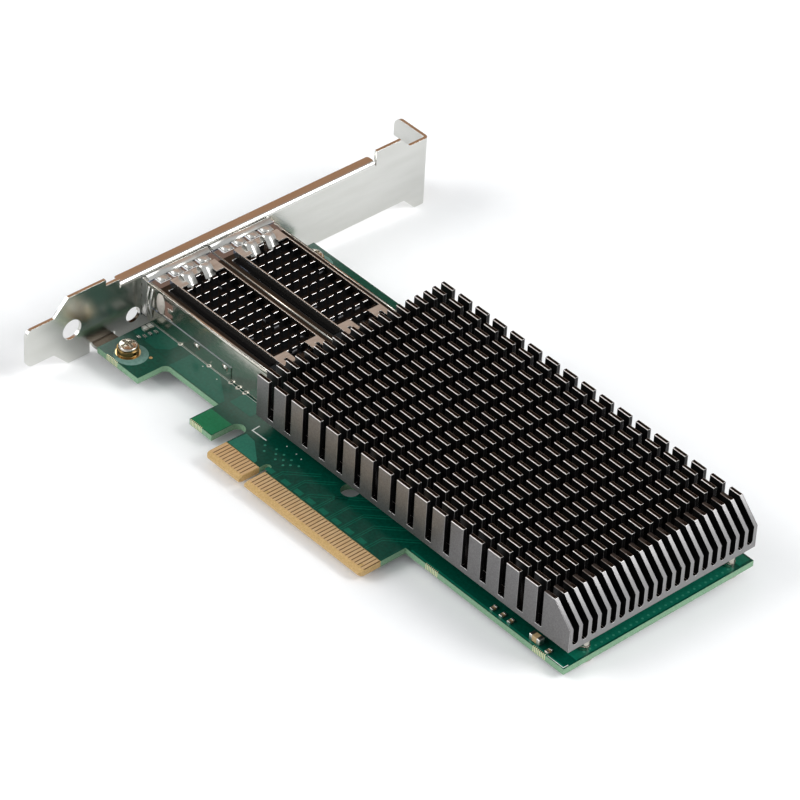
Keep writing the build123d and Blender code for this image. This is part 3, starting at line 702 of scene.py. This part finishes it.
# %% [markdown]
# ## Screws and washers
# A pan head is a low dome with a rolled edge and a pressed cross for the driver. Its surface is a
# grid of angle and distance along a profile, sunk where the cross lies. Washers and posts are turned
# profiles; the split washer is a rectangular wire wound almost once, with its ends a little apart.
# Under each bracket screw the split washer lies between two flat ones.

# %% Turned and pressed shapes
def grid_faces(rows, columns):
    """Quads of a grid whose columns run round, as index arrays."""
    row, column = np.meshgrid(np.arange(rows - 1), np.arange(columns), indexing="ij")
    after = (column + 1) % columns
    quads = [row * columns + column, row * columns + after,
             (row + 1) * columns + after, (row + 1) * columns + column]
    return np.stack(quads, axis=-1).reshape(-1, 4)


def turned(name, profile, places, mat, steps, cross=None, down=False):
    """Profile of radius and height carried round an upright axis at each place.
    With a cross (arm width, reach, depth), heights near the middle are lowered inside its arms."""
    profile = np.asarray(profile, float)
    angle = np.arange(steps) * 2 * math.pi / steps
    radius, height = profile[:, :1], np.repeat(profile[:, 1:], steps, axis=1)
    x, y = radius * np.cos(angle), radius * np.sin(angle)
    if cross:
        width, reach, depth = cross
        arm = np.minimum(np.abs(x), np.abs(y))
        inside = np.clip((width / 2 - arm) / 0.12 + 0.5, 0, 1) * np.clip((reach - radius) / 0.15, 0, 1)
        height = height - inside * depth * (profile[:, 1:] > profile[:, 1].max() - 0.3)
    if down:
        height = -height
    shape = np.stack([x, y, height], axis=-1).reshape(-1, 3)
    faces = grid_faces(len(profile), steps)
    points = np.vstack([shape + np.asarray(place, float) for place in places])
    count = len(shape)
    return piece(name, points, np.vstack([faces + i * count for i in range(len(places))]), mat, smooth=True)


def domed(radius, height, thread, tip):
    """Profile of a pan head screw from the middle of its head down to its tip. The head falls with
    the square of the distance, and its rim is a quarter of an ellipse."""
    share, fall, rim, point = 0.82, 0.22, 0.4, 0.3
    head = np.linspace(0, 1, 22)
    top = np.column_stack([radius * share * head, height - fall * head ** 2])
    roll = np.linspace(0, math.pi / 2, 7)
    edge = np.column_stack([radius * (share + (1 - share) * np.sin(roll)),
                            height - fall - rim * (1 - np.cos(roll))])
    shank = [(radius, 0.05), (radius - 0.05, 0), (thread / 2, 0), (thread / 2, tip + point),
             (thread / 2 - point, tip), (0, tip)]
    return np.vstack([top, edge[1:], shank])


screw_nickel = plated("steel_nickel_plated_screws", "B9B4AA", "CFCBC1", 0.2, 0.5, 0.1)
brass = plated("brass_turned_washers", "6E5833", "8F774C", 0.35, 0.5, 0.1)
screws = turned("bracket_pan_screws", domed(2.25, 0.95, 2.9, -4.2), [(x, y, 1.58) for x, y in EAR_PLACES],
                screw_nickel, 96, cross=(0.85, 1.75, 0.9))
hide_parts("bracket_screws")
flat = [(1.65, 0.05), (1.7, 0.0), (2.5, 0.0), (2.58, 0.08), (2.58, 0.34), (2.5, 0.42), (1.7, 0.42),
        (1.65, 0.37), (1.65, 0.05)]
flat_places = [(x, y, z) for x, y in EAR_PLACES for z in (0.0, 1.14)]
flats = turned("flat_washer_rings", flat, flat_places, brass, 48)
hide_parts("flat_washers")

# %% [markdown]
# ### Split washers
# The wire's section is a rectangle. It is carried round from 8 to 352 degrees while it rises a little,
# and its two ends are closed with one face each.

# %% Split spring washers
def split_ring(place, steps=48):
    """Rectangular wire wound from 8 to 352 degrees, rising by 0.12 mm on the way."""
    angle = np.radians(np.linspace(8, 352, steps))
    rise = np.linspace(-0.06, 0.06, steps)
    corners = np.array([(1.65, 0.08), (2.5, 0.08), (2.5, 0.66), (1.65, 0.66)])
    radius, height = corners[:, 0], corners[:, 1]
    points = np.stack([np.outer(np.cos(angle), radius), np.outer(np.sin(angle), radius),
                       height[None, :] + rise[:, None]], axis=-1).reshape(-1, 3)
    ends = [[3, 2, 1, 0], [4 * steps - 4, 4 * steps - 3, 4 * steps - 2, 4 * steps - 1]]
    return points + np.array([*place, 0.4]), np.vstack([grid_faces(steps, 4), ends])


rings = [split_ring(place) for place in EAR_PLACES]
count = len(rings[0][0])
springs = piece("split_washer_rings", np.vstack([ring[0] for ring in rings]),
                np.vstack([ring[1] + i * count for i, ring in enumerate(rings)]), brass)
rounded(springs, 0.05)
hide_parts("spring_washers")

# %% [markdown]
# ### Posts of the large heat sink
# Each post is turned with a groove near its foot, and a pan head screw comes up into it from the
# solder side.

# %% Posts under the heat sink and their screws
post_places = [(x, y) for x in (-10.5, 86.0) for y in (21.1, 63.9)]
post = [(1.05, 0.0), (1.45, 0.0), (1.5, 0.05), (1.5, 0.9), (1.3, 1.0), (1.3, 1.3), (1.5, 1.4),
        (1.5, 3.05), (1.45, 3.1), (1.05, 3.1), (1.05, 0.0)]
posts = turned("heat_sink_turned_posts", post, [(x, y, 0.0) for x, y in post_places], screw_nickel, 32)
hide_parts("heat_sink_posts")
under_places = [(x, y, BOARD_LOW) for x, y in post_places]
under = turned("heat_sink_pan_screws", domed(2.25, 1.4, 2.0, -3.9), under_places,
               screw_nickel, 72, cross=(0.8, 1.65, 0.9), down=True)
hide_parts("heat_sink_screws")
print("bracket screws and posts:", len(EAR_PLACES), len(post_places))

# %% [markdown]
# ## Small parts
# Ceramic capacitors are small fired bricks with tinned ends. The body and its two ends are boxes with
# rounded edges in one mesh, with a material for each.

# %% Parts with tinned ends
def bricks(name, centres, sizes, mats, indices, width):
    """Mesh of rounded boxes from centres and sizes, each with the index of its material."""
    unit = np.array([(x, y, z) for x in (-0.5, 0.5) for y in (-0.5, 0.5) for z in (-0.5, 0.5)])
    corner = np.array([[0, 1, 3, 2], [4, 6, 7, 5], [0, 4, 5, 1], [2, 3, 7, 6], [0, 2, 6, 4], [1, 5, 7, 3]])
    centres, sizes = np.asarray(centres, float), np.asarray(sizes, float)
    points = (centres[:, None, :] + unit[None] * sizes[:, None, :]).reshape(-1, 3)
    faces = (corner[None] + 8 * np.arange(len(centres))[:, None, None]).reshape(-1, 4)
    obj = piece(name, points, faces, mats[0])
    for mat in mats[1:]:
        obj.data.materials.append(mat)
    obj.data.polygons.foreach_set("material_index", np.repeat(indices, 6).astype(int))
    return rounded(obj, width)


def capped(places, size, along, bottom=0.0):
    """Body and two ends of each capped part: centres, sizes and material indices."""
    size = np.asarray(size, float)
    end = size.copy()
    end[along] *= 0.3
    end += 0.03
    body = size.copy()
    body[along] *= 0.9
    body -= 0.02
    shift = np.zeros(3)
    shift[along] = (size[along] - end[along]) / 2
    centres, sizes, indices = [], [], []
    for x, y in places:
        middle = np.array([x, y, bottom + size[2] / 2])
        centres += [middle, middle - shift, middle + shift]
        sizes += [body, end, end]
        indices += [0, 1, 1]
    return centres, sizes, indices


fired = moulded("ceramic_fired_brown", "8A7355", "A08664", 0.45, 0.2)
fired_tan = moulded("ceramic_fired_tan", "A98F66", "BCA37B", 0.45, 0.2)
tin = plated("tin_reflowed", "D5D2CB", "E6E3DD", 0.3, 0.4, 0.2)
small = capped([(65.6, 14.4), (68.4, 14.4), (70.9, 14.4), (82.8, 14.2)], (0.9, 1.6, 0.6), 1)
edge_caps = bricks("edge_capacitor_bricks", *small[:2], [fired, tin], small[2], 0.08)
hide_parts("edge_capacitors")
large = capped([(78.65, 14.6)], (3.2, 1.6, 1.6), 0)
bulk = bricks("bulk_capacitor_brick", *large[:2], [fired_tan, tin], large[2], 0.15)
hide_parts("bulk_capacitor")
hidden_places = [(38.0 + (i - 2) * 4.6, 42.0 + side * 17.5) for side in (-1, 1) for i in range(5)]
hidden = capped(hidden_places, (0.9, 1.6, 0.8), 1)
around = bricks("processor_capacitor_bricks", *hidden[:2], [fired_tan, tin], hidden[2], 0.1)
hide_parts("ceramic_capacitors")
print("boxes of the capacitors:", sum(len(group[0]) for group in (small, large, hidden)))

# %% [markdown]
# ## Springs, fingers and embossings of the cages
# Round the mouth of each cage a spring strip is rolled outwards, so that it touches the bracket.
# Beside the clip's yoke two fingers bow up and press the port heat sink down. Small tongues stand up
# from the vents behind the roll. The near wall has two upright spring fingers and two small latches,
# and the sheet's folds draw thin bright lines along the tops of the cages. Each is a strip bent along
# a profile, so one function sweeps a profile across a width, and Solidify gives the thickness.

# %% Bent strips
def bow(stops, steps):
    """Smooth curve through control points: a Bezier curve of their number, sampled evenly."""
    stops = np.asarray(stops, float)
    t = np.linspace(0, 1, steps)[:, None]
    order = len(stops) - 1
    parts = [math.comb(order, i) * t ** i * (1 - t) ** (order - i) * stops[i] for i in range(order + 1)]
    return np.sum(parts, axis=0)


def strip(name, profile, lows, highs, axis, thick, mat):
    """Profile of two coordinates swept across a width along X or Y, several side by side."""
    points, faces, start = [], [], 0
    count = len(profile)
    for low, high in zip(lows, highs):
        ends = [np.insert(profile, axis, np.full(count, place), axis=1) for place in (low, high)]
        points += ends
        here = np.arange(count - 1) + start
        faces += np.column_stack([here, here + 1, here + 1 + count, here + count]).tolist()
        start += 2 * count
    obj = piece(name, np.vstack(points), faces, mat, smooth=True)
    wall = obj.modifiers.new("wall", "SOLIDIFY")
    wall.thickness = thick * MM
    wall.offset = 0.0
    return obj


def across(middles, half):
    """Limits of strips that reach half a width to both sides of their middles."""
    return [middle - half for middle in middles], [middle + half for middle in middles]


port_middles = (29.7, 48.3)
roll = bow([(-59.35, 10.3), (-59.3, 11.1), (-58.4, 11.2), (-57.7, 10.8), (-57.4, 10.32)], 14)
strip("spring_rolls", roll, *across(port_middles, 8.9), 1, 0.1, spring_steel)
finger = bow([(-53.3, 11.4), (-53.0, 13.3), (-51.6, 13.6), (-50.2, 12.2), (-50.3, 10.2), (-49.0, 10.5)], 24)
middles = [y + shift for y in port_middles for shift in (-2.65, 2.65)]
strip("clip_fingers", finger, *across(middles, 1.45), 1, 0.22, spring_steel)
tongue_bend = bow([(-57.4, 10.25), (-57.1, 10.8), (-56.0, 10.75), (-55.4, 10.2)], 10)
tongue_middles = [y + shift for y in port_middles for shift in (-5.85, -1.95, 1.95, 5.85)]
strip("vent_tongues", tongue_bend, *across(tongue_middles, 1.3), 1, 0.1, spring_steel)
upright = bow([(20.25, 1.0), (19.3, 4.0), (19.3, 6.5), (20.25, 9.4)], 16)
strip("wall_spring_fingers", upright, [-57.3, -56.0], [-56.5, -55.2], 0, 0.1, spring_steel)
latch = bow([(20.3, 2.1), (19.7, 2.5), (19.6, 3.4), (20.3, 3.6)], 8)
strip("wall_latches", latch, [-40.4, -30.6], [-38.9, -29.1], 0, 0.1, rolled_edge)

corner = bow([(20.28, 9.5), (20.16, 10.3), (20.9, 10.26)], 8)
beyond = corner * (-1, 1) + (78.0, 0)
divider = bow([(38.75, 10.15), (38.8, 10.6), (39.2, 10.6), (39.25, 10.15)], 8)
for name, fold in (("near_cage_fold", corner), ("cage_divider_fold", divider), ("far_cage_fold", beyond)):
    strip(name, fold, [-57.0], [-13.4], 0, 0.05, rolled_edge)
print("clip fingers and vent tongues:", len(middles), len(tongue_middles))

# %% [markdown]
# ### Embossing
# Near the mouth the near wall is pressed out to an oval, with a matt surface that catches the lamp.

# %% Oval embossing on the near wall
def embossing(middle, half, wall, high, rings=8, steps=32):
    """Ellipse on the wall that bulges as one less the square of the distance from its middle."""
    reach = np.linspace(0, 1, rings)[:, None]
    angle = np.arange(steps) * 2 * math.pi / steps
    x = middle[0] + half[0] * reach * np.cos(angle)
    z = middle[1] + half[1] * reach * np.sin(angle)
    front = np.stack([x, np.broadcast_to(wall - high * (1 - reach ** 2), x.shape), z], axis=-1).reshape(-1, 3)
    back = np.column_stack([x[-1], np.full(steps, wall + 0.1), z[-1]])
    centre = [[middle[0], wall + 0.1, middle[1]]]
    count = rings * steps
    here = np.arange(steps)
    closing = np.column_stack([here + count, (here + 1) % steps + count, np.full(steps, count + steps)])
    points = np.vstack([front, back, centre])
    return points, [*grid_faces(rings + 1, steps).tolist(), *closing.tolist()]


embossed = plated("nickel_silver_embossed_matt", "CDC4BA", "DDD6CD", 0.45, 0.8, 0.1, 0.3)
piece("wall_embossing", *embossing((-52.8, 6.9), (1.45, 2.9), 20.3, 0.45), embossed, smooth=True)

# %% [markdown]
# ## Small lights and their resistors
# Behind the bracket's round hole stand two small light sources with tinned ends and a clear top, and
# a few smaller parts beside them.

# %% Light sources and their resistors
lens = moulded("lens_resin_clear_over_white", "DADCD2", "EEEFE8", 0.2, 0.3)
light_body = capped([(-54.2, 17.1), (-54.2, 18.5)], (1.7, 1.1, 0.8), 0)
lights = bricks("light_source_bricks", *light_body[:2], [lens, tin], light_body[2], 0.1)
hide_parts("port_lights")
beside = capped([(-52.3, 15.4), (-52.3, 16.9), (-52.9, 14.1), (-52.0, 18.4)], (1.0, 0.6, 0.45), 1)
bricks("light_resistor_bricks", *beside[:2], [epoxy_black, tin], beside[2], 0.06)

# %% [markdown]
# ### Solder side
# The reverse of such a board carries the soldered tails of the cages, some small capacitors under
# the processor, and plated holes. They are small, so they stand close to the board.

# %% Solder side details
tail_places = [(-45.4 + 10.1 * i, y) for y in (20.4, 39.0, 57.6) for i in range(3)]
joint = [(0.0, 0.75), (0.25, 0.72), (0.45, 0.5), (0.62, 0.22), (0.95, 0.04), (1.0, 0.0), (0.0, 0.0)]
turned("solder_joints_under", joint, [(x, y, BOARD_LOW) for x, y in tail_places], tin, 24, down=True)
ring = [(0.3, 0.0), (0.33, 0.08), (0.5, 0.06), (0.6, 0.0), (0.3, 0.0)]
turned("solder_rings_top", ring, [(x, 20.1, 0.0) for x in (-45.4, -35.3, -27.6, -25.2, -22.8)], tin, 24)
below_places = [(30.0 + 2.6 * i, 34.0 + 4.0 * j) for i in range(7) for j in range(5)]
below = capped(below_places, (1.0, 0.5, 0.5), 0, BOARD_LOW - 0.5)
bricks("decoupling_capacitor_bricks", *below[:2], [fired, tin], below[2], 0.06)
slabs("copper_fields_under", [rectangle((-55.0, -44.0), (14.0, 68.0)), rectangle((22.0, 54.0), (26.0, 58.0)),
                              rectangle((60.0, 84.0), (26.0, 60.0))], UNDER_Z, over_copper)
under_tracks = []
for i, x in enumerate((6.0, 8.0, 24.0, 26.0, 28.0, 30.0, 32.0, 34.0)):
    stops = [(x, 5.9), (x, 14.0 + i * 0.4), (x + 4.0, 18.0 + i * 0.4), (x + 4.0, 25.9)]
    under_tracks.append(track(stops, TRACK_WIDTH))
slabs("tracks_under", under_tracks, UNDER_Z, over_tracks)
vias = [disc((x, y), 0.3, 10) for x in np.arange(-8.0, 84.0, 8.0) for y in (18.5, 30.0, 66.5)]
slabs("via_pads_under", vias, (BOARD_LOW - 0.016, BOARD_LOW + 0.01), over_tracks)
print("solder joints, capacitors and holes below:", len(tail_places), len(below_places), len(vias))
